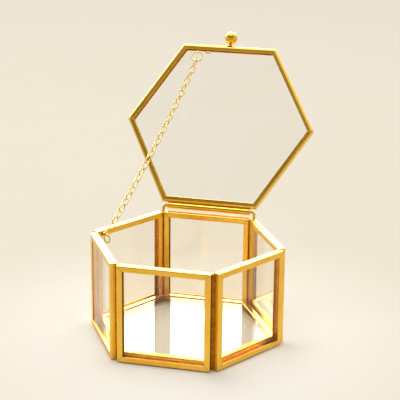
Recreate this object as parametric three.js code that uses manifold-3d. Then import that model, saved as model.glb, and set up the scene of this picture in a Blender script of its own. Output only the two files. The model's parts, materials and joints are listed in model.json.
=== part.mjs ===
// A small hexagonal jewelry box of clear glass panes in folded brass channel.
// Six framed panes stand in a ring round a framed hexagonal base, and solder seams join them at the
// corners. A framed hexagonal lid turns on a rod-and-tube hinge along the back. A fine chain runs
// from a ring on the lid to a ring inside the left corner, and its length sets how far the lid opens.
// Millimetres, +Z up, the origin at the centre of the footprint. The lid is modelled open.
import * as THREE from "three";
import Module from "manifold-3d";
import { mergeVertices } from "three/addons/utils/BufferGeometryUtils.js";

// Framed panes
const panelWidth = 48; // one wall pane, over its frame
const panelHeight = 51.5;
const cornerGap = 0.35; // what the inner hexagon's side has over a pane's width
const channelWidth = 4; // the channel's web, so a framed pane's thickness
const channelLeg = 3; // how far a leg of the channel reaches over the glass
const sheetThickness = 0.4;
const channelBend = 0.5; // outside radius of the folded edges
const bendSteps = 3;
const glassThickness = 3;
const glassEdgeGap = 0.3; // from a pane's edge to the inside of the web
const baseGap = 0.3; // from the base frame to the walls round it
const lidGap = 0.3; // from the closed lid to the top of the walls

// Solder seams in the corner grooves
const seamStart = 0.4; // from the inner corner outwards
const seamEnd = 2.2;
const seamDip = 0.3; // hollow of the seam's face
const seamClearance = 0.25;
const seamInset = 0.5; // short of the frames at top and bottom

// Rod-and-tube hinge
const tubeRadius = 1.6;
const tubeBore = 1.1;
const tubeGap = 0.2; // from the tube to the lid's rear edge
const tubeInset = 0.8; // the tube stops this far short of each end of the rear pane
const tubeSides = 20;
const pinRadius = 0.8;
const pinSides = 8;
const pinBend = 1.7; // centreline radius where the rod turns down
const pinSeat = 2.9; // from the inner corner out to the rod's legs in the rear grooves
const pinDrop = 14; // the legs end this far below the top of the walls
const pinJogLow = 4; // the legs enter the grooves this far below the top
const pinJogHigh = 1.3;
const pinStep = 0.9; // length of one step along the rod

// Knob on the lid's front edge
const knobRadius = 3.5;
const knobReach = 5.2; // from the lid's edge to the middle of the ball
const knobNeck = 1.15;
const knobFlange = 1.9;
const knobFlangeHeight = 0.9;
const knobGap = 0.1;
const knobSides = 16;

// Chain and its two rings
const linkPitch = 4.07;
const linkWire = 0.7; // diameter
const linkOuterWidth = 3.8;
const linkPlay = 0.1; // free play between two links
const linkSteps = 14;
const linkSides = 6;
const chainBend = THREE.MathUtils.degToRad(9); // how much the sagging chain turns from end to end
const lidOpenAtMost = THREE.MathUtils.degToRad(121);
const ringWire = 0.9; // diameter
const ringPlay = 0.05;
const lidRingRadius = 3.1; // to the middle of the wire
const lidRingTilt = THREE.MathUtils.degToRad(15); // the ring leans into the box
const lidRingX = -17.5;
const lidRingDrop = 0.1; // from the lid's underside to the ring's wire
const boxRingRadius = 2.2;
const boxRingAlong = 4; // from the inner left corner, along the back-left wall
const boxRingDrop = 3.8; // from the top of the walls to the ring's middle
const boxRingGap = 0.1;
const tabWidth = 2.2; // solder tabs that hold the rings
const ringGap = 0.3; // the lid's ring clears the walls by this when the lid is shut

const brass = { color: 0xd9a53a, roughness: 0.28, metalness: 1 };
const paleBrass = { color: 0xe0c070, roughness: 0.3, metalness: 1 };
const solder = { color: 0xa8701c, roughness: 0.45, metalness: 1 };
const clearGlass = { color: 0xf4f7f0, roughness: 0.05, metalness: 0, transparent: true, opacity: 0.3 };

const wasm = await Module();
wasm.setup();

// Sizes that follow from the ones above
const cos30 = Math.sqrt(3) / 2;
const innerSide = panelWidth + cornerGap;
const innerApothem = innerSide * cos30;
const outerApothem = innerApothem + channelWidth;
const hingeY = outerApothem + tubeGap + tubeRadius;
const hingeZ = panelHeight + lidGap + channelWidth / 2;
const lidFrontY = -(hingeY + outerApothem); // the lid's front edge, measured from the hinge
const linkInner = linkPitch + linkPlay;
const linkLoop = (linkOuterWidth - linkWire) / 2; // radius of a link's round ends, to the wire's middle
const endReach = linkInner / 2 - ringWire / 2 - ringPlay; // from a ring's wire to the middle of an end link

const box = new THREE.Group();
const lid = new THREE.Group();
lid.position.set(0, hingeY, hingeZ);
box.add(lid);

function addMesh(parent, name, geometry, look) {
  const mesh = new THREE.Mesh(geometry, new THREE.MeshStandardMaterial(look));
  mesh.name = name;
  parent.add(mesh);
  return mesh;
}

// A frame of channel round a flat outline: the section is carried along the outline with mitred
// corners. The outline runs anticlockwise in XY, and a section point is [inset, height].
function mitredFrame(outline, section) {
  const count = outline.length;
  const positions = [];
  outline.forEach((corner, i) => {
    const before = outline[(i + count - 1) % count];
    const after = outline[(i + 1) % count];
    const inwards = [[before, corner], [corner, after]].map(([from, to]) => {
      const along = to.clone().sub(from).normalize();
      return new THREE.Vector2(-along.y, along.x);
    });
    const mitre = inwards[0].clone().add(inwards[1]);
    mitre.divideScalar(1 + inwards[0].dot(inwards[1]));
    for (const [inset, height] of section) {
      positions.push(corner.x + mitre.x * inset, corner.y + mitre.y * inset, height);
    }
  });
  const index = [];
  const steps = section.length;
  for (let i = 0; i < count; i++) {
    for (let j = 0; j < steps; j++) {
      const a = i * steps + j;
      const b = i * steps + ((j + 1) % steps);
      const c = ((i + 1) % count) * steps + j;
      const d = ((i + 1) % count) * steps + ((j + 1) % steps);
      index.push(a, b, c, b, d, c);
    }
  }
  const geometry = new THREE.BufferGeometry();
  geometry.setAttribute("position", new THREE.Float32BufferAttribute(positions, 3));
  geometry.setIndex(index);
  geometry.computeVertexNormals();
  return geometry;
}

// The folded channel's section: a web with a rounded fold at each side and two legs over the glass.
function channelSection() {
  const half = channelWidth / 2;
  const section = [];
  for (const side of [-1, 1]) {
    for (let i = 0; i <= bendSteps; i++) {
      const share = side < 0 ? i / bendSteps : 1 - i / bendSteps;
      const turn = (share * Math.PI) / 2;
      const inset = channelBend * (1 - Math.sin(turn));
      section.push([inset, side * (half - channelBend * (1 - Math.cos(turn)))]);
    }
  }
  section.push([channelLeg, half], [channelLeg, half - sheetThickness]);
  section.push([sheetThickness, half - sheetThickness], [sheetThickness, sheetThickness - half]);
  section.push([channelLeg, sheetThickness - half], [channelLeg, -half]);
  return section.reverse();
}

function rectangle(width, height) {
  const x = width / 2;
  const y = height / 2;
  return [[-x, -y], [x, -y], [x, y], [-x, y]].map(([a, b]) => new THREE.Vector2(a, b));
}

function hexagon(apothem) {
  const radius = apothem / cos30;
  return Array.from({ length: 6 }, (_, i) => {
    const angle = (i * Math.PI) / 3;
    return new THREE.Vector2(radius * Math.cos(angle), radius * Math.sin(angle));
  });
}

function hexagonPane(apothem) {
  const pane = new THREE.ExtrudeGeometry(new THREE.Shape(hexagon(apothem)), {
    depth: glassThickness,
    bevelEnabled: false,
  });
  return pane.translate(0, 0, -glassThickness / 2);
}

// Walls: each is a pane in its own frame of folded channel, and the frames meet at their inner corners.
function addWalls() {
  const walls = { front_right: -30, back_right: 30, back: 90, back_left: 150, front_left: 210, front: 270 };
  const glassInset = 2 * (sheetThickness + glassEdgeGap);
  for (const [side, degrees] of Object.entries(walls)) {
    const wall = new THREE.Group();
    wall.rotation.z = THREE.MathUtils.degToRad(degrees - 90);
    box.add(wall);
    const frame = mitredFrame(rectangle(panelWidth, panelHeight), channelSection());
    const pane = new THREE.BoxGeometry(panelWidth - glassInset, panelHeight - glassInset, glassThickness);
    for (const mesh of [
      addMesh(wall, "wall_frame_" + side, frame, brass),
      addMesh(wall, "wall_glass_" + side, pane, clearGlass),
    ]) {
      mesh.rotation.x = Math.PI / 2;
      mesh.position.set(0, innerApothem + channelWidth / 2, panelHeight / 2);
    }
  }
}

// Solder fills the bottom of the V between two neighbouring frames.
function addSeams() {
  const corners = { right: 0, back_right: 60, back_left: 120, left: 180, front_left: 240, front_right: 300 };
  const halfWidth = (out) => (out + cornerGap) / Math.sqrt(3) - seamClearance / cos30;
  for (const [corner, degrees] of Object.entries(corners)) {
    const shape = new THREE.Shape();
    shape.moveTo(seamStart, -halfWidth(seamStart));
    shape.lineTo(seamEnd, -halfWidth(seamEnd));
    shape.quadraticCurveTo(seamEnd - 2 * seamDip, 0, seamEnd, halfWidth(seamEnd));
    shape.lineTo(seamStart, halfWidth(seamStart));
    const height = panelHeight - 2 * seamInset;
    const seam = new THREE.ExtrudeGeometry(shape, { depth: height, bevelEnabled: false, curveSegments: 4 });
    const mesh = addMesh(box, "corner_solder_" + corner, seam.translate(innerSide, 0, seamInset), solder);
    mesh.rotation.z = THREE.MathUtils.degToRad(degrees);
  }
}

// Base: a hexagonal pane in the same channel, inside the ring of walls.
function addBase() {
  const apothem = innerApothem - baseGap;
  const frame = addMesh(box, "base_frame", mitredFrame(hexagon(apothem), channelSection()), brass);
  const pane = hexagonPane(apothem - sheetThickness - glassEdgeGap);
  const glass = addMesh(box, "base_glass", pane, clearGlass);
  frame.position.z = channelWidth / 2;
  glass.position.z = channelWidth / 2;
}

// Hinge: a tube along the lid's rear edge turns on a rod whose ends drop into the rear corner grooves.
function addHinge() {
  const halfTube = panelWidth / 2 - tubeInset;
  const wall = [
    [tubeBore, -halfTube],
    [tubeRadius, -halfTube],
    [tubeRadius, halfTube],
    [tubeBore, halfTube],
    [tubeBore, -halfTube],
  ].map(([x, y]) => new THREE.Vector2(x, y));
  const tube = addMesh(lid, "hinge_tube", new THREE.LatheGeometry(wall, tubeSides), brass);
  tube.rotation.z = Math.PI / 2;

  const seatX = innerSide / 2 + pinSeat / 2;
  const seatY = innerApothem + pinSeat * cos30;
  const half = [
    [0, hingeY, hingeZ],
    [seatX, hingeY, hingeZ],
    [seatX, hingeY, panelHeight - pinJogHigh],
    [seatX, seatY, panelHeight - pinJogLow],
    [seatX, seatY, panelHeight - pinDrop],
  ];
  const route = [...half.slice(1).reverse().map(([x, y, z]) => [-x, y, z]), ...half.slice(1)];
  const corners = route.map((p) => new THREE.Vector3(...p));
  const path = new THREE.CurvePath();
  let start = corners[0];
  for (let i = 1; i < corners.length - 1; i++) {
    const back = corners[i - 1].clone().sub(corners[i]);
    const on = corners[i + 1].clone().sub(corners[i]);
    const trim = Math.min(pinBend, back.length() / 2, on.length() / 2);
    const enter = corners[i].clone().add(back.setLength(trim));
    const leave = corners[i].clone().add(on.setLength(trim));
    path.add(new THREE.LineCurve3(start, enter));
    path.add(new THREE.QuadraticBezierCurve3(enter, corners[i], leave));
    start = leave;
  }
  path.add(new THREE.LineCurve3(start, corners[corners.length - 1]));
  const section = new THREE.Shape(circle(pinRadius, pinSides));
  const steps = Math.round(path.getLength() / pinStep);
  addMesh(box, "hinge_pin", new THREE.ExtrudeGeometry(section, { steps, extrudePath: path }), brass);
}

// Lid: a hexagonal pane in channel, with a ball knob on the front edge.
function addLid() {
  const frame = addMesh(lid, "lid_frame", mitredFrame(hexagon(outerApothem), channelSection()), brass);
  const pane = hexagonPane(outerApothem - sheetThickness - glassEdgeGap);
  const glass = addMesh(lid, "lid_glass", pane, clearGlass);
  frame.position.y = -hingeY;
  glass.position.y = -hingeY;

  const neckAngle = Math.asin(knobNeck / knobRadius);
  const outline = [
    new THREE.Vector2(0, 0),
    new THREE.Vector2(knobFlange, 0),
    new THREE.Vector2(knobFlange, knobFlangeHeight / 3),
    new THREE.Vector2(knobNeck, knobFlangeHeight),
  ];
  const arcSteps = 10;
  for (let i = 0; i <= arcSteps; i++) {
    const angle = neckAngle + ((Math.PI - neckAngle) * i) / arcSteps;
    const radius = i === arcSteps ? 0 : knobRadius * Math.sin(angle);
    outline.push(new THREE.Vector2(radius, knobReach - knobRadius * Math.cos(angle)));
  }
  const knob = addMesh(lid, "lid_knob", new THREE.LatheGeometry(outline, knobSides), brass);
  knob.rotation.x = Math.PI;
  knob.position.y = lidFrontY - knobGap;
}

// Turns a geometry into a manifold solid, and a solid back into a geometry.
function toSolid(geometry) {
  const bare = geometry.clone().deleteAttribute("normal").deleteAttribute("uv");
  const merged = mergeVertices(bare, 1e-4);
  return new wasm.Manifold(
    new wasm.Mesh({
      numProp: 3,
      vertProperties: new Float32Array(merged.attributes.position.array),
      triVerts: new Uint32Array(merged.index.array),
    }),
  );
}

function toGeometry(made) {
  const mesh = made.getMesh();
  const geometry = new THREE.BufferGeometry();
  geometry.setAttribute("position", new THREE.Float32BufferAttribute(mesh.vertProperties, 3));
  geometry.setIndex(new THREE.BufferAttribute(mesh.triVerts, 1));
  geometry.computeVertexNormals();
  return geometry;
}

function wireRing(radius) {
  return new THREE.TorusGeometry(radius, ringWire / 2, 8, 20);
}

// The lid's ring lies under the lid, just behind the front wall, on a tab that reaches to the frame.
// Its far side, where the chain pulls, is the middle of the hook point.
const lidRingFront = lidFrontY + channelWidth + ringGap + ringWire / 2;
const lidRingTop = -channelWidth / 2 - lidRingDrop - ringWire / 2;
const lidHook = new THREE.Vector3(
  lidRingX,
  lidRingFront + 2 * lidRingRadius * Math.cos(lidRingTilt),
  lidRingTop - 2 * lidRingRadius * Math.sin(lidRingTilt),
);

function addLidRing() {
  const ring = wireRing(lidRingRadius).translate(0, lidRingRadius, 0);
  ring.rotateX(-lidRingTilt).translate(lidRingX, lidRingFront, lidRingTop);
  const tabFront = lidFrontY + channelLeg + lidRingDrop;
  const tabBack = lidRingFront + ringWire / 2;
  const tabTop = -glassThickness / 2 - lidRingDrop;
  const tabBottom = -channelWidth / 2 - lidRingDrop - ringWire / 4;
  const tab = new THREE.BoxGeometry(tabWidth, tabBack - tabFront, tabTop + channelWidth / 2);
  tab.translate(lidRingX, (tabFront + tabBack) / 2, (tabTop - channelWidth / 2) / 2);
  const foot = new THREE.BoxGeometry(tabWidth, ringWire, tabTop - tabBottom);
  foot.translate(lidRingX, lidRingFront, (tabTop + tabBottom) / 2);
  const made = toSolid(ring).add(toSolid(tab)).add(toSolid(foot));
  addMesh(lid, "chain_ring_lid", toGeometry(made), paleBrass);
}

// The box's ring hangs upright, square to the back-left wall, on a tab soldered to that wall's frame.
const leftCorner = new THREE.Vector3(-innerSide, 0, 0);
const alongWall = new THREE.Vector3(1 / 2, cos30, 0);
const intoBox = new THREE.Vector3(cos30, -1 / 2, 0);
const boxRingIn = boxRingGap + ringWire / 2 + boxRingRadius;
const boxRingCentre = leftCorner
  .clone()
  .addScaledVector(alongWall, boxRingAlong)
  .addScaledVector(intoBox, boxRingIn)
  .setZ(panelHeight - boxRingDrop);
const boxHook = boxRingCentre.clone().setZ(boxRingCentre.z + boxRingRadius);

function addBoxRing() {
  const ring = wireRing(boxRingRadius).rotateX(Math.PI / 2);
  const tabReach = boxRingIn - boxRingGap;
  const tabHeight = channelLeg / 2;
  const tab = new THREE.BoxGeometry(tabReach - boxRingRadius / 2, tabWidth, tabHeight);
  const tabZ = boxRingDrop - channelLeg / 2;
  tab.translate(-tabReach + (tabReach - boxRingRadius / 2) / 2, 0, tabZ);
  const mesh = addMesh(box, "chain_ring_box", toGeometry(toSolid(ring).add(toSolid(tab))), paleBrass);
  mesh.rotation.z = Math.atan2(intoBox.y, intoBox.x);
  mesh.position.copy(boxRingCentre);
}

// A link's wire: an oval with straight sides and round ends, in its own XY plane. With an end of -1 or
// 1 it is only the half of the oval round that end.
class LinkCurve extends THREE.Curve {
  constructor(end = 0) {
    super();
    this.end = end;
  }

  getPoint(t, target = new THREE.Vector3()) {
    const straight = linkInner + linkWire - 2 * linkLoop;
    const arc = Math.PI * linkLoop;
    const side = straight + arc;
    const first = this.end < 0 ? side + straight / 2 : straight / 2;
    let run = this.end ? first + t * side : 2 * t * side;
    const turned = Math.floor(run / side);
    run -= turned * side;
    const sign = turned % 2 ? -1 : 1;
    if (run < straight) return target.set(sign * (run - straight / 2), -sign * linkLoop, 0);
    const angle = (run - straight) / linkLoop - Math.PI / 2;
    const x = straight / 2 + linkLoop * Math.cos(angle);
    return target.set(sign * x, sign * linkLoop * Math.sin(angle), 0);
  }
}

function circle(radius, sides) {
  return Array.from({ length: sides }, (_, i) => {
    const angle = (2 * Math.PI * i) / sides;
    return new THREE.Vector2(radius * Math.cos(angle), radius * Math.sin(angle));
  });
}

function linkGeometry(end) {
  if (!end) return new THREE.TubeGeometry(new LinkCurve(), linkSteps, linkWire / 2, linkSides, true);
  const section = new THREE.Shape(circle(linkWire / 2, linkSides));
  return new THREE.ExtrudeGeometry(section, { steps: linkSteps / 2, extrudePath: new LinkCurve(end) });
}

// The chain sags in the upright plane through its two hooks, each link turned a little from the last.
// It is parted in the middle, where two half links face each other across a clearance.
// Its length holds the lid: the lid opens until the hooks are the chain's span apart.
function linkLengths(count) {
  return Array.from({ length: count }, (_, i) => {
    const ends = (i === 0 ? 1 : 0) + (i === count - 1 ? 1 : 0);
    return linkPitch - ends * (linkPitch / 2 - endReach);
  });
}

function chainTurns(count) {
  return Array.from({ length: count }, (_, i) => chainBend * ((i + 0.5) / count - 0.5));
}

function chainSpan(count) {
  const turns = chainTurns(count);
  return linkLengths(count).reduce((sum, length, i) => sum + length * Math.cos(turns[i]), 0);
}

const toLidHook = { radius: Math.hypot(lidHook.y, lidHook.z), angle: Math.atan2(lidHook.z, -lidHook.y) };
const fromHinge = { y: boxHook.y - hingeY, z: boxHook.z - hingeZ };
const toBoxHook = { radius: Math.hypot(fromHinge.y, fromHinge.z), angle: Math.atan2(fromHinge.z, -fromHinge.y) };
const hookSide = lidHook.x - boxHook.x;

function hookDistance(open) {
  const angle = open + toLidHook.angle - toBoxHook.angle;
  const flat = toLidHook.radius ** 2 + toBoxHook.radius ** 2 - 2 * toLidHook.radius * toBoxHook.radius * Math.cos(angle);
  return Math.sqrt(flat + hookSide ** 2);
}

function openAngle(span) {
  const flat = span ** 2 - hookSide ** 2;
  const cosine = (toLidHook.radius ** 2 + toBoxHook.radius ** 2 - flat) / (2 * toLidHook.radius * toBoxHook.radius);
  return Math.acos(cosine) - toLidHook.angle + toBoxHook.angle;
}

const linkCount = Math.floor((hookDistance(lidOpenAtMost) - 2 * endReach) / linkPitch) + 1;
const lidOpen = openAngle(chainSpan(linkCount));
lid.rotation.x = -lidOpen;

function addChain() {
  lid.updateMatrixWorld(true);
  const start = lid.localToWorld(lidHook.clone());
  const chord = boxHook.clone().sub(start).normalize();
  const bendAxis = chord.clone().cross(new THREE.Vector3(0, 0, -1)).normalize();
  const parted = Math.ceil(linkCount / 2);
  const firstNormal = new THREE.Vector3(1, 0, 0);
  const lastNormal = intoBox.clone();
  const at = start.clone();
  const lengths = linkLengths(linkCount);
  chainTurns(linkCount).forEach((turn, i) => {
    const along = chord.clone().applyAxisAngle(bendAxis, -turn);
    const normal = firstNormal.clone().lerp(lastNormal, i / (linkCount - 1));
    normal.addScaledVector(along, -normal.dot(along)).normalize();
    if (i % 2) normal.cross(along);
    const fromStart = i === 0 ? endReach : linkPitch / 2;
    const number = String(i + 1).padStart(2, "0");
    const end = i + 1 === parted ? -1 : i === parted ? 1 : 0;
    const mesh = addMesh(box, "chain_link_" + number, linkGeometry(end), paleBrass);
    const across = normal.clone().cross(along);
    mesh.quaternion.setFromRotationMatrix(new THREE.Matrix4().makeBasis(along, across, normal));
    mesh.position.copy(at).addScaledVector(along, fromStart);
    at.addScaledVector(along, lengths[i]);
  });
}

addWalls();
addSeams();
addBase();
addHinge();
addLid();
addLidRing();
addBoxRing();
addChain();

export default box;
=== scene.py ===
import json
import math

import bmesh
import bpy
import numpy as np
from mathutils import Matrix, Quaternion, Vector

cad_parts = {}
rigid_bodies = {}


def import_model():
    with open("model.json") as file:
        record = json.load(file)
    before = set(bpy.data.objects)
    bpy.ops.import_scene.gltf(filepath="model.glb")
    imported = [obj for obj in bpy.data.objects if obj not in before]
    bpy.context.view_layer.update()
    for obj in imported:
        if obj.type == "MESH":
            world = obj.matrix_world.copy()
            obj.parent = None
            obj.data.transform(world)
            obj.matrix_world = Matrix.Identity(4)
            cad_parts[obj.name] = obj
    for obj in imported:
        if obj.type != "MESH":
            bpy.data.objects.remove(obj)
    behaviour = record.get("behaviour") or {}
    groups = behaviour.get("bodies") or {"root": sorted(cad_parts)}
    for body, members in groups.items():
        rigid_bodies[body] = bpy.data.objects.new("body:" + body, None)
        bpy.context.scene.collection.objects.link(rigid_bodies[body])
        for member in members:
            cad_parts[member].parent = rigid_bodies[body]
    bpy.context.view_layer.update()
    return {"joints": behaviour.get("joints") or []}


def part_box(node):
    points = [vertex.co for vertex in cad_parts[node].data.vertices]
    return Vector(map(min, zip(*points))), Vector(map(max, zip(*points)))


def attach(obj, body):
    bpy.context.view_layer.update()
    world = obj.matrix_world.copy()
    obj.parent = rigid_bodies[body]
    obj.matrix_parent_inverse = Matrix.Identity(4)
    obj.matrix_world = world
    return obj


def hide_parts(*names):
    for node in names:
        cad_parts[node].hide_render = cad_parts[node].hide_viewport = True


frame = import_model()
mm = 0.001
cos30 = math.cos(math.radians(30))
joints = {joint["name"]: joint for joint in frame["joints"]}


def sizesFromFrame():
    # The box's own sizes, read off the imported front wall, base and hinge.
    low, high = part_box("wall_frame_front")
    paneLow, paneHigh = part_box("wall_glass_front")
    baseLow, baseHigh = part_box("base_frame")
    hinge = joints["lid_hinge"]
    return {
        "width": high.x - low.x,
        "height": high.z - low.z,
        "channel": high.y - low.y,
        "innerApothem": -high.y,
        "outerApothem": -low.y,
        "innerCorner": -high.y / cos30,
        "glass": paneHigh.y - paneLow.y,
        "glassInset": paneLow.x - low.x,
        "baseApothem": -baseLow.y,
        "hinge": np.array(hinge["pos_m"]),
        "open": math.radians(hinge["range_deg"][1]),
    }


size = sizesFromFrame()
walls = {"front": 270, "front_right": 330, "back_right": 30, "back": 90, "back_left": 150, "front_left": 210}
corners = {"right": 0, "back_right": 60, "back_left": 120, "left": 180, "front_left": 240, "front_right": 300}
across = np.array([1.0, 0.0, 0.0])
rearward = np.array([0.0, 1.0, 0.0])
up = np.array([0.0, 0.0, 1.0])
print("frame loaded: panes", round(size["width"] / mm, 2), "by", round(size["height"] / mm, 2), "mm")


class Signal:
    # One output socket of a material. Arithmetic on signals and numbers adds Math nodes.
    def __init__(self, tree, socket=None):
        self.tree = tree
        self.socket = socket

    def node(self, kind, settings=None, inputs=None, output=0):
        # Adds any other node: its type, its settings, then the values or links of its sockets.
        made = self.tree.nodes.new("ShaderNode" + kind)
        for key, value in (settings or {}).items():
            setattr(made, key, value)
        for key, value in (inputs or {}).items():
            if isinstance(value, Signal):
                self.tree.links.new(value.socket, made.inputs[key])
            else:
                made.inputs[key].default_value = value
        return Signal(self.tree, made.outputs[output])

    def maths(self, operation, first, second):
        return self.node("Math", {"operation": operation}, {0: first, 1: second})

    def __add__(self, other):
        return self.maths("ADD", self, other)

    def __radd__(self, other):
        return self.maths("ADD", other, self)

    def __sub__(self, other):
        return self.maths("SUBTRACT", self, other)

    def __rsub__(self, other):
        return self.maths("SUBTRACT", other, self)

    def __mul__(self, other):
        return self.maths("MULTIPLY", self, other)

    def __rmul__(self, other):
        return self.maths("MULTIPLY", other, self)

    def __pow__(self, other):
        return self.maths("POWER", self, other)

    def clamped(self):
        return self.maths("MAXIMUM", self.maths("MINIMUM", self, 1.0), 0.0)

    def between(self, low, high):
        # 0 below low, 1 above high, smooth in between.
        return self.node(
            "MapRange",
            {"interpolation_type": "SMOOTHSTEP"},
            {"Value": self, "From Min": low, "From Max": high},
        )

    def mixed(self, colourA, colourB):
        # The colour between A and B at this signal. Inputs 6 and 7 and output 2 are the node's colours.
        return self.node("Mix", {"data_type": "RGBA"}, {0: self, 6: colourA, 7: colourB}, 2)

    def stretched(self, scale):
        # This vector times a scale along each axis.
        return self.node("VectorMath", {"operation": "MULTIPLY"}, {0: self, 1: scale})

    def along(self, axis):
        # This vector's X, Y or Z.
        return self.node("SeparateXYZ", {}, {0: self}, axis)

    def noise(self, scale, detail=2.0, roughness=0.5):
        # Smooth noise from 0 to 1 over this vector, with scale waves in each unit of it.
        values = {"Vector": self, "Scale": scale, "Detail": detail, "Roughness": roughness}
        return self.node("TexNoise", {}, values)


def newMaterial(name):
    # An empty material, its node tree's root signal and its output.
    made = bpy.data.materials.new(name)
    made.use_nodes = True
    made.node_tree.nodes.clear()
    root = Signal(made.node_tree)
    output = made.node_tree.nodes.new("ShaderNodeOutputMaterial")
    return made, root, output


def linear(red, green, blue):
    # Linear colour of sRGB values from 0 to 255.
    share = np.array([red, green, blue]) / 255
    made = np.where(share <= 0.04045, share / 12.92, ((share + 0.055) / 1.055) ** 2.4)
    return (*made.tolist(), 1.0)


brassLook = {
    "bright": (0.94, 0.58, 0.095, 1),
    "deep": (0.85, 0.475, 0.052, 1),
    # dark tone of the real tarnish spots, also used as painted shade in the mitre creases
    "tarnish": (0.34, 0.14, 0.010, 1),
    "patch": 55.0,  # patches per metre
    "patchRange": (0.30, 0.70),  # from where a patch is deep to where it is bright
    "brush": (45.0, 2600.0, 1.0),  # brush strokes per metre, along and across the channel
    "spot": 770.0,  # spots of tarnish per metre
    "spotRange": (0.66, 0.78),
    "strokeTone": 0.25,  # share of the strokes in the tone
    "foldBright": 0.45,  # painted highlight: how far the outer folds turn bright
    "grooveDark": 0.85,  # painted shade: how far the mitre creases turn dark
    "spotDark": 0.22,
    "roughness": 0.17,
    "strokeRough": 0.10,
    "patchRough": 0.08,
    "spotRough": 0.2,
    "foldSmooth": 0.06,
    "strokeHeight": 0.35,  # share of the strokes in the relief
    "relief": 0.10,
    "reliefDepth": 0.4 * mm,
}


def addMetal(made, root, output, colour, rough, bump):
    # Bare metal of this colour and roughness, joined to the material's output.
    shader = root.node(
        "BsdfPrincipled",
        {},
        {"Base Color": colour, "Metallic": 1.0, "Roughness": rough, "Normal": bump},
    )
    made.node_tree.links.new(shader.socket, output.inputs["Surface"])
    return made


def channelBrass():
    # Lacquered folded brass: strokes along the channel and soft patches, mixed by their shares, between
    # a deep and a bright tone; then a painted highlight on the outer folds, painted shade in the mitres and
    # dark tarnish spots.
    look = brassLook
    made, root, output = newMaterial("channel_brass_finish")
    coords = root.node("TexCoord", output="Object")
    uv = root.node("TexCoord", output="UV")
    strokes = uv.stretched(look["brush"]).noise(1.0, 3.0, 0.6)
    patches = coords.noise(look["patch"], 4.0, 0.55)
    spots = coords.noise(look["spot"], 2.0).between(*look["spotRange"])
    groove = root.node("Attribute", {"attribute_name": "groove"}, output="Fac")
    fold = root.node("Attribute", {"attribute_name": "fold"}, output="Fac")
    tone = patches.between(*look["patchRange"]) * (1 - look["strokeTone"]) + strokes * look["strokeTone"]
    body = tone.clamped().mixed(look["deep"], look["bright"])
    # painted highlight: the outer folds and the legs' tips turn towards the bright tone
    highlitFolds = (fold * look["foldBright"]).mixed(body, look["bright"])
    # painted shade in the mitre creases, plus the real tarnish spots
    dark = (groove * look["grooveDark"] + spots * look["spotDark"]).clamped()
    colour = dark.mixed(highlitFolds, look["tarnish"])
    rough = look["roughness"] + strokes * look["strokeRough"] + patches * look["patchRough"]
    rough = rough + spots * look["spotRough"] - fold * look["foldSmooth"]
    height = strokes * look["strokeHeight"] + patches * (1 - look["strokeHeight"])
    bump = root.node(
        "Bump", {}, {"Strength": look["relief"], "Distance": look["reliefDepth"], "Height": height}
    )
    return addMetal(made, root, output, colour, rough, bump)


smoothLooks = {
    "polished": {
        "bright": (0.94, 0.58, 0.080, 1),
        "deep": (0.85, 0.48, 0.045, 1),
        "roughness": 0.12,
        "patch": 70.0,  # patches per metre
        "relief": 0.05,
    },
    "chain": {
        "bright": (0.86, 0.68, 0.26, 1),
        "deep": (0.72, 0.51, 0.14, 1),
        "roughness": 0.24,
        "patch": 160.0,
        "relief": 0.05,
    },
    "solder": {
        # the solder's own reddish brown, darkened further as painted shade of the deep corner grooves
        "bright": (0.42, 0.19, 0.018, 1),
        "deep": (0.20, 0.07, 0.005, 1),
        "roughness": 0.30,
        "patch": 420.0,
        "relief": 0.35,
    },
}
smoothGrain = {
    "finer": 18,  # fine marks across one patch
    "patchRange": (0.32, 0.68),
    "fineRange": (0.55, 0.8),
    "fineTone": 0.3,  # share of the fine marks in the tone
    "fineHeight": 0.4,  # and in the relief
    "patchRough": 0.08,
    "fineRough": 0.12,
    "reliefDepth": 0.3 * mm,
}


def plainBrass(name, look):
    # Brass wire, rod, turned work or solder: patches and fine marks, mixed by their shares, between a
    # deep and a bright tone, with small lumps.
    grain = smoothGrain
    made, root, output = newMaterial(name)
    coords = root.node("TexCoord", output="Object")
    patches = coords.noise(look["patch"], 4.0, 0.55)
    fine = coords.noise(look["patch"] * grain["finer"], 3.0, 0.6)
    tone = patches.between(*grain["patchRange"]) * (1 - grain["fineTone"]) + fine * grain["fineTone"]
    colour = tone.clamped().mixed(look["deep"], look["bright"])
    rough = look["roughness"] + patches * grain["patchRough"]
    rough = rough + fine.between(*grain["fineRange"]) * grain["fineRough"]
    height = patches * (1 - grain["fineHeight"]) + fine * grain["fineHeight"]
    bump = root.node(
        "Bump", {}, {"Strength": look["relief"], "Distance": grain["reliefDepth"], "Height": height}
    )
    return addMetal(made, root, output, colour, rough, bump)


glassLook = {
    "clear": (0.995, 0.995, 0.992, 1),
    "smudged": (0.985, 0.985, 0.975, 1),
    "wallClear": (0.985, 0.968, 0.925, 1),  # painted reflection: the walls pass light warmer, standing for the brass round them that they mirror
    "wallSmudged": (0.970, 0.950, 0.900, 1),
    "mirror": 0.03,  # what it mirrors head on
    "grazing": 5,  # power of the mirror's rise towards grazing angles
    "roughness": 0.012,
    "smudge": 38.0,  # smudges per metre
    "smudgeRange": (0.45, 0.75),
    "smudgeRough": 0.03,
}


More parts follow.
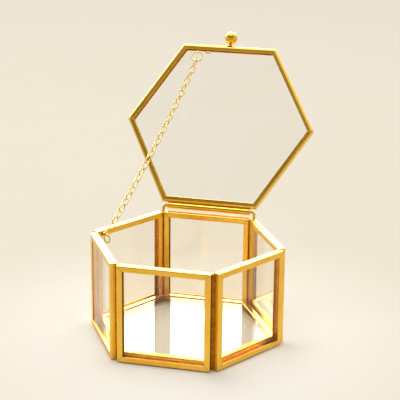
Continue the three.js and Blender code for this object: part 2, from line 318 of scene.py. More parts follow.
def clearGlass(name, clear, smudged):
    # Thin clear sheet: what is behind it shows unbent, in a tint between clear and smudged, and it
    # mirrors mirror + (1 - mirror) facing^grazing, with faint smudges in the shine.
    made, root, output = newMaterial(name)
    coords = root.node("TexCoord", output="Object")
    smudge = coords.noise(glassLook["smudge"], 3.0, 0.6).between(*glassLook["smudgeRange"])
    facing = root.node("LayerWeight", {}, {"Blend": 0.5}, "Facing")
    mirror = glassLook["mirror"] + (1 - glassLook["mirror"]) * facing ** glassLook["grazing"]
    through = root.node("BsdfTransparent", {}, {"Color": smudge.mixed(clear, smudged)})
    rough = glassLook["roughness"] + smudge * glassLook["smudgeRough"]
    shine = root.node("BsdfGlossy", {}, {"Color": (1, 1, 1, 1), "Roughness": rough})
    both = root.node("MixShader", {}, {0: mirror, 1: through, 2: shine})
    made.node_tree.links.new(both.socket, output.inputs["Surface"])
    return made


finishes = {
    "channel": channelBrass(),
    "polished": plainBrass("polished_brass_finish", smoothLooks["polished"]),
    "chain": plainBrass("chain_brass_finish", smoothLooks["chain"]),
    "solder": plainBrass("solder_finish", smoothLooks["solder"]),
    "glass": clearGlass("clear_glass_finish", glassLook["clear"], glassLook["smudged"]),
    # the walls' warmer tint is a painted reflection of the brass round them
    "wallGlass": clearGlass("wall_glass_finish", glassLook["wallClear"], glassLook["wallSmudged"]),
}
print("finishes made:", ", ".join(finishes))


meshing = {
    "weld": 1e-6,  # points closer than this become one, in metres
    "tiny": 1e-7,  # edges shorter than this go
}
sharpAngles = {  # degrees past which an edge stays sharp
    "channel": 50,
    "glass": 20,
    "wallGlass": 20,
    "solder": 55,
    "polished": 60,
    "chain": 80,
    "floor": 30,
}


def gridFaces(rows, columns, roundRows):
    # Quads between neighbouring points of a grid. Each row closes on itself, and so do the columns where
    # roundRows is set.
    row, column = np.meshgrid(np.arange(rows if roundRows else rows - 1), np.arange(columns), indexing="ij")
    nextRow = (row + 1) % rows
    nextColumn = (column + 1) % columns
    corner = [
        row * columns + column,
        nextRow * columns + column,
        nextRow * columns + nextColumn,
        row * columns + nextColumn,
    ]
    return np.stack(corner, -1).reshape(-1, 4), row.ravel(), column.ravel()


def runLength(points, closed):
    # Distance run along a line of points, with the closing step last where it is closed.
    after = np.roll(points, -1, 0) if closed else points[1:]
    steps = np.linalg.norm(after - points[: len(after)], axis=-1)
    return np.concatenate([[0], np.cumsum(steps)])


def sheet(points, roundRows=False, u=None, v=None, groove=None, fold=None):
    # A grid of points (rows, columns, 3) whose rows close on themselves, with u and v in metres unless
    # they are given, and how far each point lies in a groove or on a fold.
    rows, columns = points.shape[:2]
    v = runLength(points[rows // 2], True) if v is None else v
    u = runLength(points.mean(1), roundRows) if u is None else u
    u = np.broadcast_to(u[:, None], (len(u), columns)) if u.ndim == 1 else u
    return {
        "points": points,
        "roundRows": roundRows,
        "u": u,
        "v": v,
        "groove": np.zeros((rows, columns)) if groove is None else groove,
        "fold": np.zeros((rows, columns)) if fold is None else fold,
    }


def buildMesh(name, sheets, sharp):
    # Puts the sheets into one mesh, welds the points they share and turns every face out.
    allFaces, allUvs = [], []
    count = 0
    for part in sheets:
        rows, columns = part["points"].shape[:2]
        faces, row, column = gridFaces(rows, columns, part["roundRows"])
        nextColumn = (column + 1) % columns
        u, v = part["u"], part["v"]
        uAt = [u[row, column], u[row + 1, column], u[row + 1, nextColumn], u[row, nextColumn]]
        vAt = [v[column], v[column], v[column + 1], v[column + 1]]
        allUvs.append(np.stack([np.stack(uAt, -1), np.stack(vAt, -1)], -1).reshape(-1, 2))
        allFaces.append(faces + count)
        count += rows * columns
    points = np.concatenate([part["points"].reshape(-1, 3) for part in sheets])
    faces = np.concatenate(allFaces)
    mesh = bpy.data.meshes.new(name)
    mesh.vertices.add(len(points))
    mesh.vertices.foreach_set("co", points.astype(np.float32).ravel())
    mesh.loops.add(faces.size)
    mesh.loops.foreach_set("vertex_index", faces.astype(np.int32).ravel())
    mesh.polygons.add(len(faces))
    mesh.polygons.foreach_set("loop_start", np.arange(0, faces.size, 4, dtype=np.int32))
    mesh.update(calc_edges=True)
    layer = mesh.uv_layers.new(name="surface")
    layer.data.foreach_set("uv", np.concatenate(allUvs).astype(np.float32).ravel())
    for title in ("groove", "fold"):
        values = np.concatenate([part[title].ravel() for part in sheets])
        attribute = mesh.attributes.new(title, "FLOAT", "POINT")
        attribute.data.foreach_set("value", values.astype(np.float32))
    work = bmesh.new()
    work.from_mesh(mesh)
    bmesh.ops.remove_doubles(work, verts=work.verts, dist=meshing["weld"])
    bmesh.ops.dissolve_degenerate(work, edges=work.edges, dist=meshing["tiny"])
    bmesh.ops.recalc_face_normals(work, faces=work.faces)
    work.to_mesh(mesh)
    work.free()
    mesh.shade_smooth()
    mesh.set_sharp_from_angle(angle=math.radians(sharp))
    return mesh


def addPiece(name, sheets, finish, body, nodes):
    # A finished piece at the origin, riding on its body in place of its plain nodes.
    mesh = buildMesh(name, sheets, sharpAngles[finish])
    mesh.materials.append(finishes[finish])
    piece = bpy.data.objects.new(name, mesh)
    bpy.context.scene.collection.objects.link(piece)
    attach(piece, body)
    if nodes:
        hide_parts(*nodes)


def arc(centre, radius, start, end, steps):
    # Points at centre + radius (cos, sin) for angles from start to end, in degrees.
    turn = np.radians(np.linspace(start, end, steps + 1))
    return np.stack([centre[0] + radius * np.cos(turn), centre[1] + radius * np.sin(turn)], -1)


def unit(vector):
    return vector / np.linalg.norm(vector, axis=-1, keepdims=True)


def lidOpen(points):
    # Turns points of the shut lid about the hinge to where the lid rests open.
    y = points[..., 1] - size["hinge"][1]
    z = points[..., 2] - size["hinge"][2]
    cosine = math.cos(-size["open"])
    sine = math.sin(-size["open"])
    moved = points.copy()
    moved[..., 1] = size["hinge"][1] + y * cosine - z * sine
    moved[..., 2] = size["hinge"][2] + y * sine + z * cosine
    return moved


channel = {
    "leg": 3.0 * mm,
    "sheet": 0.4 * mm,
    "fold": 0.6 * mm,  # outside radius of the folds
    "lidFold": 1.45 * mm,
    "foldSteps": 8,
    "tipSteps": 6,
    "tipWear": 0.6,  # painted highlight on the legs' tips, against 1 on the folds
    "hold": 0.06 * mm,  # points this near a bend keep the flats flat
    "mitre": 0.16 * mm,  # half width of the fine groove at a mitre
    "mitreDepth": 0.09 * mm,
    "grainStep": 1.37,  # the brushing starts this many widths further on at each side
    "arris": 0.35 * mm,  # ground edge of the panes
}


def channelSection(bend):
    # The channel's closed outline as (inset, height): legs, web, two folds and two rounded tips, each
    # bend an arc; and how much painted highlight each point takes, full on the outer folds and less on the
    # tips.
    deep = size["channel"]
    leg, metal = channel["leg"], channel["sheet"]
    foldSteps, tipSteps, tipWear = channel["foldSteps"], channel["tipSteps"], channel["tipWear"]
    arcs = [
        (arc((bend, bend), bend, 270, 180, foldSteps), 1),
        (arc((bend, deep - bend), bend, 180, 90, foldSteps), 1),
        (arc((leg - metal / 2, deep - metal / 2), metal / 2, 90, -90, tipSteps), tipWear),
        (arc((bend, deep - bend), bend - metal, 90, 180, foldSteps), 0),
        (arc((bend, bend), bend - metal, 180, 270, foldSteps), 0),
        (arc((leg - metal / 2, metal / 2), metal / 2, 90, -90, tipSteps), tipWear),
    ]
    outline, fold = [], []
    for i, (points, highlitFolds) in enumerate(arcs):
        following = arcs[(i + 1) % len(arcs)][0][0]
        flat = following - points[-1]
        hold = channel["hold"] / np.linalg.norm(flat)
        share = np.sin(np.linspace(0, math.pi, len(points))) * highlitFolds
        outline += [points, points[-1] + flat * hold, following - flat * hold]
        fold += [share, [0.0], [0.0]]
    return np.concatenate([np.atleast_2d(p) for p in outline]), np.concatenate(fold)


def mitredRing(outline, section, fold):
    # The section carried round an outline: a point with inset s and height h lies at corner + s times the
    # mitre vector, h up. Each side is a sheet, and at the mitres the metal dips into a fine groove.
    around = np.roll(section, -1, 0) - np.roll(section, 1, 0)
    outwards = unit(np.stack([-around[:, 1], around[:, 0]], -1))
    sunk = section - outwards * channel["mitreDepth"]
    ahead = unit(np.roll(outline, -1, 0) - outline)
    inward = np.stack([-ahead[:, 1], ahead[:, 0]], -1)
    before = np.roll(inward, 1, 0)
    mitre = (inward + before) / (1 + np.sum(inward * before, -1, keepdims=True))
    edge, hold = channel["mitre"], channel["hold"]
    v = runLength(section, True)
    sides = []
    for i in range(len(outline)):
        j = (i + 1) % len(outline)
        near = [(i, 0, sunk), (i, edge, section), (i, edge + hold, section)]
        far = [(j, -edge - hold, section), (j, -edge, section), (j, 0, sunk)]
        rows = [
            np.concatenate([outline[k] + shape[:, :1] * mitre[k] + ahead[i] * shift, shape[:, 1:]], -1)
            for k, shift, shape in near + far
        ]
        points = np.stack(rows)
        marks = np.array([float(shape is sunk) for k, shift, shape in near + far])
        u = (points[..., :2] - outline[i]) @ ahead[i] + i * size["width"] * channel["grainStep"]
        groove = np.broadcast_to(marks[:, None], points.shape[:2])
        highlitFolds = np.broadcast_to(fold, points.shape[:2])
        sides.append(sheet(points, u=u, v=v, groove=groove, fold=highlitFolds))
    return sides


def pane(outline):
    # A flat pane: its outline at each level from one face to the other, drawn in at the ground arrises,
    # and both faces closed to the middle.
    thick, arris = size["glass"], channel["arris"]
    drawn = 1 - arris / np.abs(outline).max()
    levels = [(0, 0), (drawn, 0), (1, arris), (1, thick - arris), (drawn, thick), (0, thick)]
    rows = [np.concatenate([outline * share, np.full((len(outline), 1), z)], -1) for share, z in levels]
    return [sheet(np.stack(rows))]


def placed(sheets, origin, ways):
    # Moves sheets so that their x, y and z run along the three ways given.
    xWay, yWay, zWay = ways
    for part in sheets:
        p = part["points"]
        part["points"] = origin + p[..., :1] * xWay + p[..., 1:2] * yWay + p[..., 2:] * zWay
    return sheets


def lidPlaced(sheets):
    for part in sheets:
        part["points"] = lidOpen(part["points"])
    return sheets


def rectangle(width, height):
    return np.array([[-1, -1], [1, -1], [1, 1], [-1, 1]]) * np.array([width, height]) / 2


def hexagon(apothem):
    turn = np.radians(np.arange(0, 360, 60))
    return np.stack([np.cos(turn), np.sin(turn)], -1) * apothem / cos30


def framedPane(frameLine, glassLine, bend, origin, ways):
    # A mitred channel frame round an outline, and the pane midway between its legs.
    section, fold = channelSection(bend)
    rim = (size["channel"] - size["glass"]) / 2
    ring = placed(mitredRing(frameLine, section, fold), origin, ways)
    glass = placed(pane(glassLine), origin + ways[2] * rim, ways)
    return ring, glass


def addFrames():
    # Six walls on end round the middle, the base between their feet, and the lid turned open.
    width, height, inset = size["width"], size["height"], size["glassInset"]
    for side, degrees in walls.items():
        turn = math.radians(degrees)
        outwards = np.array([math.cos(turn), math.sin(turn), 0])
        along = np.array([math.sin(turn), -math.cos(turn), 0])
        middle = outwards * size["innerApothem"] + up * height / 2
        glassLine = rectangle(width - 2 * inset, height - 2 * inset)
        ways = (along, up, outwards)
        ring, glass = framedPane(rectangle(width, height), glassLine, channel["fold"], middle, ways)
        addPiece(side + "_wall_frame", ring, "channel", "box", ["wall_frame_" + side])
        addPiece(side + "_wall_glass", glass, "wallGlass", "box", ["wall_glass_" + side])
    level = (across, rearward, up)
    apothem = size["baseApothem"]
    ring, glass = framedPane(hexagon(apothem), hexagon(apothem - inset), channel["fold"], np.zeros(3), level)
    addPiece("bottom_frame", ring, "channel", "box", ["base_frame"])
    addPiece("bottom_glass", glass, "glass", "box", ["base_glass"])
    low = up * (size["hinge"][2] - size["channel"] / 2)
    apothem = size["outerApothem"]
    ring, glass = framedPane(hexagon(apothem), hexagon(apothem - inset), channel["lidFold"], low, level)
    addPiece("top_frame", lidPlaced(ring), "channel", "lid", ["lid_frame"])
    addPiece("top_glass", lidPlaced(glass), "glass", "lid", ["lid_glass"])


addFrames()
print("channel frames and panes made")


seam = {
    "start": 0.35 * mm,  # from the inner corner outwards
    "end": 1.25 * mm,
    "dip": 0.25 * mm,  # hollow of its face
    "ripple": 0.10 * mm,
    "waves": ((0.83, 0.5), (2.1, 0.3), (4.7, 0.2)),  # radians per mm, and share of the ripple
    "phase": 1.7,  # what sets one seam's waves off from the next one's
    "blunt": 60,  # power of the ends' rounding
    "inset": 0.5 * mm,  # short of the frames at top and bottom
    "clear": 0.02 * mm,
    "rows": 90,
    "columns": 14,
}


def grooveHalf(out):
    # Half the groove's width at a distance out from the inner corner, less the seam's clearance.
    gap = size["innerCorner"] - size["width"]
    return (out + gap) / math.sqrt(3) - seam["clear"]


def addSeams():
    # Across the groove: two straight flanks at 60 degrees and a hollow face, out = end - dip (1 - t^2).
    # Up the groove the face ripples by three sine waves, and both ends close by
    # sqrt(1 - |2 rise - 1|^blunt).
    rise = np.linspace(0, 1, seam["rows"])
    z = seam["inset"] + rise * (size["height"] - 2 * seam["inset"])
    ends = np.sqrt(np.clip(1 - np.abs(2 * rise - 1) ** seam["blunt"], 0, 1))
    t = np.linspace(-1, 1, seam["columns"])
    inner = np.full((seam["rows"], 2), seam["start"])
    innerSide = np.broadcast_to(np.array([1, -1]) * grooveHalf(seam["start"]), inner.shape)
    for i, (corner, degrees) in enumerate(corners.items()):
        wave = sum(np.sin(z / mm * pace + i * seam["phase"] * pace) * share for pace, share in seam["waves"])
        out = seam["end"] + wave * seam["ripple"]
        radial = np.concatenate([out[:, None] - seam["dip"] * (1 - t**2), inner], 1)
        lateral = np.concatenate([grooveHalf(out)[:, None] * t, innerSide], 1)
        middle = radial.mean(1, keepdims=True)
        radial = middle + (radial - middle) * ends[:, None]
        lateral = lateral * ends[:, None]
        turn = math.radians(degrees)
        outwards = np.array([math.cos(turn), math.sin(turn), 0])
        sideways = np.array([-math.sin(turn), math.cos(turn), 0])
        points = (size["innerCorner"] + radial)[..., None] * outwards + lateral[..., None] * sideways
        points = points + z[:, None, None] * up
        name = corner + "_corner_seam"
        addPiece(name, [sheet(points)], "solder", "box", ["corner_solder_" + corner])


addSeams()
print("solder seams made")


hingeSizes = {
    "tube": 1.75 * mm,
    "bore": 1.1 * mm,
    "inset": 0.8 * mm,  # the tube stops this far short of each end of the rear pane
    "lip": 0.18 * mm,
    "lipSteps": 5,
    "boreSteps": 3,
    "steps": 48,
    "rod": 0.8 * mm,
    "bend": 1.7 * mm,
    "bendSteps": 12,
    "seat": 2.9 * mm,  # from the inner corner out to the rod's legs in the rear grooves
    "drop": 14 * mm,
    "jogLow": 4 * mm,
    "jogHigh": 1.3 * mm,
    "rodStep": 0.35 * mm,
    "rodSides": 20,
    "endShare": 0.35,  # share of the rod's radius with finer steps at its round ends
    "endSteps": 5,
    "endSkip": 3,  # plain steps that the finer ones stand for
}


def turned(profile, start, way, steps, roundRows=False):
    # A profile of (radius, along) points carried round a level axis: start + along way +
    # radius (cos sideways + sin other).
    sideways = unit(np.cross(way, up))
    other = np.cross(way, sideways)
    turn = np.linspace(0, 2 * math.pi, steps, endpoint=False)
    ring = np.cos(turn)[:, None] * sideways + np.sin(turn)[:, None] * other
    return sheet(start + profile[:, 1][:, None, None] * way + profile[:, 0][:, None, None] * ring, roundRows)


def swept(path, radii, sides):
    # A round section of the given radius at each point of a path: path + radius (cos normal + sin side),
    # with normals carried without twist from the path's upright start.
    tangent = unit(np.gradient(path, axis=0))
    normal = np.zeros_like(path)
    guess = across
    for i, way in enumerate(tangent):
        guess = guess - way * (guess @ way)
        guess = guess / np.linalg.norm(guess)
        normal[i] = guess
    side = np.cross(tangent, normal)
    turn = np.linspace(0, 2 * math.pi, sides, endpoint=False)
    ring = np.cos(turn)[None, :, None] * normal[:, None] + np.sin(turn)[None, :, None] * side[:, None]
    return sheet(path[:, None] + radii[:, None, None] * ring)


def filleted(points, radius, steps):
    # A line through the corner points, each corner rounded by a curve that starts and ends radius away.
    made = [points[:1]]
    share = np.linspace(0, 1, steps + 1)[:, None]
    for before, corner, after in zip(points[:-2], points[1:-1], points[2:]):
        back, ahead = before - corner, after - corner
        trim = min(radius, np.linalg.norm(back) / 2, np.linalg.norm(ahead) / 2)
        enter, leave = corner + unit(back) * trim, corner + unit(ahead) * trim
        made.append((1 - share) ** 2 * enter + 2 * share * (1 - share) * corner + share**2 * leave)
    made.append(points[-1:])
    return np.concatenate(made)


def evenly(path, step):
    # The same line with a point about every step.
    run = runLength(path, False)
    at = np.linspace(0, run[-1], int(round(run[-1] / step)) + 1)
    return np.stack([np.interp(at, run, path[:, k]) for k in range(3)], -1)


def roundEnds(path, radius):
    # Radii along a path whose two ends close in a quarter round of that radius each.
    run = runLength(path, False)
    left = np.minimum(run, run[-1] - run)
    near = np.clip(1 - left / radius, 0, 1)
    return radius * np.sqrt(np.clip(1 - near**2, 0, 1))


def addHinge():
    # The tube: a turned ring section with rounded lips. The rod: through the tube, down over the rear
    # wall's top and into the two rear grooves.
    y, z = size["hinge"][1], size["hinge"][2]
    half = size["width"] / 2 - hingeSizes["inset"]
    tube, bore, lip = hingeSizes["tube"], hingeSizes["bore"], hingeSizes["lip"]
    lipSteps, boreSteps = hingeSizes["lipSteps"], hingeSizes["boreSteps"]
    profile = np.concatenate([
        arc((tube - lip, -half + lip), lip, 270, 360, lipSteps),
        [[tube, -half + 3 * lip], [tube, half - 3 * lip]],
        arc((tube - lip, half - lip), lip, 0, 90, lipSteps),
        arc((bore + lip / 2, half - lip / 2), lip / 2, 90, 180, boreSteps),
        arc((bore + lip / 2, -half + lip / 2), lip / 2, 180, 270, boreSteps),
    ])
    barrel = turned(profile, np.array([0, y, z]), across, hingeSizes["steps"], True)
    addPiece("hinge_barrel", lidPlaced([barrel]), "polished", "lid", ["hinge_tube"])

    seatX = size["innerCorner"] / 2 + hingeSizes["seat"] / 2
    seatY = size["innerApothem"] + hingeSizes["seat"] * cos30
    top = size["height"]
    right = np.array([
        [seatX, y, z],
        [seatX, y, top - hingeSizes["jogHigh"]],
        [seatX, seatY, top - hingeSizes["jogLow"]],
        [seatX, seatY, top - hingeSizes["drop"]],
    ])
    route = np.concatenate([right[::-1] * [-1, 1, 1], right])
    path = evenly(filleted(route, hingeSizes["bend"], hingeSizes["bendSteps"]), hingeSizes["rodStep"])
    fine = np.linspace(0, 1, hingeSizes["endSteps"] + 1)[1:-1, None]
    fine = fine * hingeSizes["rod"] * hingeSizes["endShare"]
    first, last, skip = path[0], path[-1], hingeSizes["endSkip"]
    path = np.concatenate([[first], first + up * fine, path[skip:-skip], last + up * fine[::-1], [last]])
    rod = swept(path, roundEnds(path, hingeSizes["rod"]), hingeSizes["rodSides"])
    addPiece("hinge_rod", [rod], "polished", "box", ["hinge_pin"])


addHinge()
print("hinge made")


knob = {
    "ball": 3.5 * mm,
    "reach": 5.2 * mm,  # from the lid's edge to the middle of the ball
    "neck": 1.15 * mm,
    "neckSeat": 0.05 * mm,  # the ball starts this much wider than the neck
    "flange": 1.9 * mm,
    "rim": 0.15 * mm,
    "footInset": 0.1 * mm,
    "rimSteps": 8,
    "ballSteps": 40,
    "gap": 0.02 * mm,
    "steps": 56,
}


def addKnob():
    # Turned: a flange with a round rim, a hollow curve to the neck, and the ball as an arc to its pole.
    ball, reach, neck, flange, rim = knob["ball"], knob["reach"], knob["neck"], knob["flange"], knob["rim"]
    hollow = flange - neck - rim
    start = math.degrees(math.asin((neck + knob["neckSeat"]) / ball))
    profile = np.concatenate([
        [[0, 0], [flange - rim - knob["footInset"], 0]],
        arc((flange - rim, rim), rim, 270, 450, knob["rimSteps"]),
        arc((neck + hollow, 2 * rim + hollow), hollow, 270, 180, knob["rimSteps"]),
        arc((0, reach), ball, start - 90, 90, knob["ballSteps"]),
    ])
    profile[-1, 0] = 0
    front = np.array([0, -size["outerApothem"] - knob["gap"], size["hinge"][2]])
    made = turned(profile, front, -rearward, knob["steps"])
    addPiece("pull_knob", lidPlaced([made]), "polished", "lid", ["lid_knob"])


addKnob()
print("knob made")


chain = {
    "pitch": 4.07 * mm,
    "play": 0.1 * mm,
    "wire": 0.7 * mm,
    "wireShown": 0.66 * mm,  # round wire just inside the faceted one
    "width": 3.8 * mm,
    "steps": 64,
    "sides": 12,
    "joint": 0.10,  # how much the wire narrows at its butt joint
    "jointSpan": 0.16 * mm,
}
rings = {
    "wire": 0.9 * mm,
    "wireShown": 0.8 * mm,
    "play": 0.05 * mm,
    "lidRadius": 3.1 * mm,
    "lidTilt": math.radians(15),
    "lidX": -17.5 * mm,
    "lidDrop": 0.1 * mm,
    "lidBehind": 0.3 * mm,  # clears the front wall by this when the lid is shut
    "boxRadius": 2.2 * mm,
    "boxAlong": 4 * mm,  # from the inner left corner, along the back-left wall
    "boxDrop": 3.8 * mm,
    "boxGap": 0.1 * mm,
    "tab": 2.2 * mm,
    "tabHalf": (0.68, 0.5),  # half depth and half height of the lid's tab, in wires
    "tabSunk": 0.4,  # its middle below the lid's face, in wires
    "tabPower": 3.2,
    "dabX": -11.7 * mm,
    "dabHalf": (1.6 * mm, 0.6 * mm, 0.3 * mm),
    "dabRaise": 0.3,  # its middle above the tab's, in wires
    "dabPower": 2.4,
    "blockRows": 17,
    "blockColumns": 28,
    "steps": 72,
    "sides": 16,
}
alongWall = np.array([0.5, cos30, 0])
intoBox = np.array([cos30, -0.5, 0])


def ovalLine(steps):
    # A link's centreline: two straights and two half circles, evenly spaced by length, in x and y.
    loop = (chain["width"] - chain["wire"]) / 2
    straight = chain["pitch"] + chain["play"] + chain["wire"] - 2 * loop
    lap = 2 * (straight + math.pi * loop)
    run = np.arange(steps) * lap / steps
    half = run % (lap / 2)
    sign = np.where(run < lap / 2, 1.0, -1.0)
    turn = np.clip((half - straight) / loop, 0, math.pi) - math.pi / 2
    onStraight = half < straight
    x = np.where(onStraight, half - straight / 2, straight / 2 + loop * np.cos(turn))
    y = np.where(onStraight, -loop, loop * np.sin(turn))
    return np.stack([sign * x, sign * y], -1), run, straight


def addLink(number, centre, way, normal, body):
    # An oval ring of round wire: centreline + radius (cos in its plane + sin across it), pinched a little
    # at the butt joint in one straight side.
    line, run, straight = ovalLine(chain["steps"])
    tangent = unit(np.roll(line, -1, 0) - np.roll(line, 1, 0))
    outwards = np.stack([tangent[:, 1], -tangent[:, 0]], -1)
    basis = np.stack([way, np.cross(normal, way)])
    turn = np.linspace(0, 2 * math.pi, chain["sides"], endpoint=False)
    pinch = 1 - chain["joint"] * np.exp(-(((run - straight / 2) / chain["jointSpan"]) ** 2))
    radius = chain["wireShown"] / 2 * pinch
    ring = np.cos(turn)[None, :, None] * (outwards @ basis)[:, None] + np.sin(turn)[None, :, None] * normal
    points = centre + (line @ basis)[:, None] + radius[:, None, None] * ring
    name = "chain_oval_%02d" % number
    node = "chain_link_%02d" % number
    addPiece(name, [sheet(points, True)], "chain", body, [node])


def addChain():
    # The links lie between the joints' pivots, each turned a quarter from the last about the chain's run.
    count = sum(1 for name in joints if name.startswith("link_"))
    pivots = np.array([joints["link_%02d_bend" % (i + 1)]["pos_m"] for i in range(count)])
    parents = [joints["link_%02d_bend" % (i + 1)]["parent"] for i in range(count)]
    upper = sum(1 for i in range(count) if parents[i] == ("lid" if i == 0 else "link_%02d" % i))
    middle = (pivots[upper - 1] + pivots[upper]) / 2
    line = np.concatenate([pivots[:upper], [middle], pivots[upper:]])
    reach = (chain["pitch"] + chain["play"] - rings["wire"]) / 2 - rings["play"]
    for i in range(count):
        start, end = line[i], line[i + 1]
        way = unit(end - start)
        centre = (start + end) / 2
        if i == 0:
            centre = start + way * reach
        if i == count - 1:
            centre = end - way * reach
        share = i / (count - 1)
        normal = across * (1 - share) + intoBox * share
        normal = unit(normal - way * (normal @ way))
        if i % 2:
            normal = np.cross(way, normal)
        addLink(i + 1, centre, way, normal, "link_%02d" % (i + 1))


def wireRing(centre, radius, sideA, sideB):
    # A round ring: centre + radius (cos sideA + sin sideB), with a round wire carried along it.
    turn = np.linspace(0, 2 * math.pi, rings["steps"], endpoint=False)
    outwards = np.cos(turn)[:, None] * sideA + np.sin(turn)[:, None] * sideB
    normal = np.cross(sideA, sideB)
    phi = np.linspace(0, 2 * math.pi, rings["sides"], endpoint=False)
    ring = np.cos(phi)[None, :, None] * outwards[:, None] + np.sin(phi)[None, :, None] * normal
    return sheet(centre + radius * outwards[:, None] + rings["wireShown"] / 2 * ring, True)


def solderBlock(centre, halfSizes, ways, power):
    # A rounded block: each point of a sphere pushed out to where |x|^p + |y|^p + |z|^p = 1, times its
    # half sizes.
    tall = np.linspace(-math.pi / 2, math.pi / 2, rings["blockRows"])[:, None]
    turn = np.linspace(0, 2 * math.pi, rings["blockColumns"], endpoint=False)[None, :]
    ball = np.stack([np.cos(tall) * np.cos(turn), np.cos(tall) * np.sin(turn), np.sin(tall) + 0 * turn], -1)
    ball[[0, -1]] = [[[0, 0, -1]], [[0, 0, 1]]]
    length = np.sum(np.abs(ball) ** power, -1, keepdims=True) ** (1 / power)
    block = ball / length * np.array(halfSizes)
    return sheet(centre + block @ np.array(ways))


def addLidRing():
    # A ring that leans back under the lid's front rail, its tab against the rail, and a dab beside it.
    wire, radius, tilt = rings["wire"], rings["lidRadius"], rings["lidTilt"]
    y = -size["outerApothem"] + size["channel"] + rings["lidBehind"] + wire / 2
    face = size["hinge"][2] - size["channel"] / 2
    z = face - rings["lidDrop"] - wire / 2
    backwards = np.array([0, math.cos(tilt), -math.sin(tilt)])
    centre = np.array([rings["lidX"], y, z]) + radius * backwards
    ring = wireRing(centre, radius, across, backwards)
    tabZ = face - wire * rings["tabSunk"]
    deep, high = rings["tabHalf"]
    tabHalf = (rings["tab"] / 2, wire * deep, wire * high)
    tab = solderBlock(np.array([rings["lidX"], y, tabZ]), tabHalf, np.eye(3), rings["tabPower"])
    addPiece("lid_chain_loop", lidPlaced([ring, tab]), "chain", "lid", ["chain_ring_lid"])
    dabAt = np.array([rings["dabX"], y, tabZ + wire * rings["dabRaise"]])
    dab = solderBlock(dabAt, rings["dabHalf"], np.eye(3), rings["dabPower"])
    addPiece("lid_solder_dab", lidPlaced([dab]), "chain", "lid", [])


def addBoxRing():
    # A ring on end inside the back-left wall near its left corner, and its tab on the wall's top rail.
    reachIn = rings["boxGap"] + rings["wire"] / 2 + rings["boxRadius"]
    corner = np.array([-size["innerCorner"], 0, 0])
    centre = corner + alongWall * rings["boxAlong"] + intoBox * reachIn
    centre = centre + up * (size["height"] - rings["boxDrop"])
    ring = wireRing(centre, rings["boxRadius"], intoBox, up)
    tabHigh = channel["leg"] / 2
    tabDeep = reachIn - rings["boxGap"] - rings["boxRadius"] / 2
    tabAt = centre - intoBox * (reachIn - rings["boxGap"] - tabDeep / 2)
    tabAt = tabAt + up * (rings["boxDrop"] - channel["leg"] / 2)
    tabHalf = (tabDeep / 2, rings["tab"] / 2, tabHigh / 2)
    tab = solderBlock(tabAt, tabHalf, np.stack([intoBox, alongWall, up]), rings["tabPower"])
    addPiece("box_chain_loop", [ring, tab], "chain", "box", ["chain_ring_box"])


addChain()
addLidRing()
addBoxRing()
print("chain and its rings made")


stage = {
    "floor": linear(232, 226, 213),
    "grain": 9.0,  # grains of tone per metre
    "grainDark": 0.97,
    "pool": linear(248, 246, 240),  # painted pool of light on the floor under and round the box
    "poolReach": (0.035, 0.17),
    "floorFront": linear(120, 96, 62),  # out of view, darkens what the knob and legs mirror
    "frontReach": (0.30, 0.75),
    "floorRadius": 6.0,
    "floorSides": 96,
    "below": 0.4 * mm,
}
studio = {
    "tint": (1.0, 0.975, 0.93, 1),
    "horizon": 0.84,
    "back": 0.92,
    "backRange": (0.0, 0.6),
    "frontHigh": 0.22,
    "frontRange": (0.05, 0.6),
    "highRange": (0.12, 0.45),
    "zenith": 1.45,
    "topRange": (0.72, 0.95),
    "window": 9.5,  # a pale window behind, which only what shines mirrors
    "windowBack": (0.30, 0.65),
    "windowFoot": (0.06, 0.18),
    "windowHead": (0.55, 0.80),
    "windowRight": (0.20, 0.50),
}
lamp = {
    "place": (-0.45, 0.35, 1.7),
    "aim": (0, 0, 0.05),
    "sizes": (0.9, 0.7),
    "power": 6.5,
    "colour": (1, 0.98, 0.94),
}
view = {
    "place": (167.886, -649.602, 288.463),
    "aim": (3.084, 15.360, 69.001),
    "lens": 123.52,
    "roll": 0.613,
    "clip": (0.01, 50),
}


def addFloor():
    # A wide round floor with a little grain, and a painted pool of light round the box. What shines mirrors
    # its front part dark.
    made, root, output = newMaterial("floor_finish")
    coords = root.node("TexCoord", output="Object")
    dark = [value * stage["grainDark"] for value in stage["floor"][:3]] + [1]
    near = coords.noise(stage["grain"], 4.0, 0.6).mixed(dark, stage["floor"])
    reach = root.node("VectorMath", {"operation": "LENGTH"}, {0: coords}, "Value")
    # painted pool of light: the floor turns paler near the box
    near = (1 - reach.between(*stage["poolReach"])).mixed(near, stage["pool"])
    front = (0 - coords.along("Y")).between(*stage["frontReach"])
    mirrored = root.node("LightPath", output="Is Glossy Ray")
    colour = (front * mirrored).mixed(near, stage["floorFront"])
    shader = root.node("BsdfDiffuse", {}, {"Color": colour})
    made.node_tree.links.new(shader.socket, output.inputs["Surface"])
    turn = np.linspace(0, 2 * math.pi, stage["floorSides"], endpoint=False)
    ring = np.stack([np.cos(turn), np.sin(turn), 0 * turn], -1) * stage["floorRadius"]
    points = np.stack([ring * 0, ring]) - up * stage["below"]
    mesh = buildMesh("floor", [sheet(points)], sharpAngles["floor"])
    mesh.materials.append(made)
    floor = bpy.data.objects.new("floor", mesh)
    bpy.context.scene.collection.objects.link(floor)
    if mesh.polygons[0].normal.z < 0:
        mesh.flip_normals()


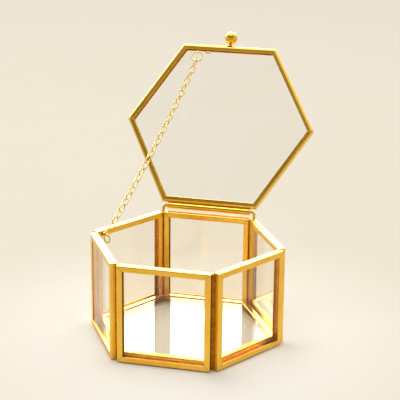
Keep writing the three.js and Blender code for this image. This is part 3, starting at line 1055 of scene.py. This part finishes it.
def addWorld():
    # A pale studio: bright overhead and behind, darker high in front, by the way each ray points, and
    # a pale window behind for what shines.
    world = bpy.data.worlds.new("studio")
    bpy.context.scene.world = world
    world.use_nodes = True
    world.node_tree.nodes.clear()
    root = Signal(world.node_tree)
    way = root.node("TexCoord", output="Generated")
    x, y, z = (way.along(axis) for axis in "XYZ")
    dark = (0 - y).between(*studio["frontRange"]) * z.between(*studio["highRange"])
    top = z.between(*studio["topRange"])
    level = studio["horizon"] + (studio["back"] - studio["horizon"]) * y.between(*studio["backRange"])
    level = level * (1 - dark) + dark * studio["frontHigh"]
    level = level * (1 - top) + top * studio["zenith"]
    window = y.between(*studio["windowBack"]) * z.between(*studio["windowFoot"])
    window = window * (1 - z.between(*studio["windowHead"])) * (1 - x.between(*studio["windowRight"]))
    mirrored = root.node("LightPath", output="Is Glossy Ray")
    level = level + mirrored * window * studio["window"]
    tint = root.node("Background", {}, {"Color": studio["tint"], "Strength": level})
    output = world.node_tree.nodes.new("ShaderNodeOutputWorld")
    world.node_tree.links.new(tint.socket, output.inputs["Surface"])


def addLamp():
    # One soft panel overhead, out of the camera's sight.
    panel = bpy.data.lights.new("top_panel", "AREA")
    panel.shape = "RECTANGLE"
    panel.size, panel.size_y = lamp["sizes"]
    panel.energy = lamp["power"]
    panel.color = lamp["colour"]
    made = bpy.data.objects.new("top_panel", panel)
    bpy.context.scene.collection.objects.link(made)
    made.location = lamp["place"]
    made.rotation_mode = "QUATERNION"
    made.rotation_quaternion = (Vector(lamp["aim"]) - Vector(lamp["place"])).to_track_quat("-Z", "Y")
    made.visible_camera = False


def addCamera():
    # Looks from place to aim, both in millimetres, and rolls about that line.
    camera = bpy.data.cameras.new("camera")
    camera.lens = view["lens"]
    made = bpy.data.objects.new("camera", camera)
    bpy.context.scene.collection.objects.link(made)
    place = Vector(view["place"]) * mm
    forward = Vector(view["aim"]) * mm - place
    made.location = place
    made.rotation_mode = "QUATERNION"
    roll = Quaternion((0, 0, 1), math.radians(view["roll"]))
    made.rotation_quaternion = forward.to_track_quat("-Z", "Y") @ roll
    camera.clip_start, camera.clip_end = view["clip"]
    bpy.context.scene.camera = made


addFloor()
addWorld()
addLamp()
addCamera()
bpy.context.scene.view_settings.view_transform = "Standard"
print("stage, light and camera made")
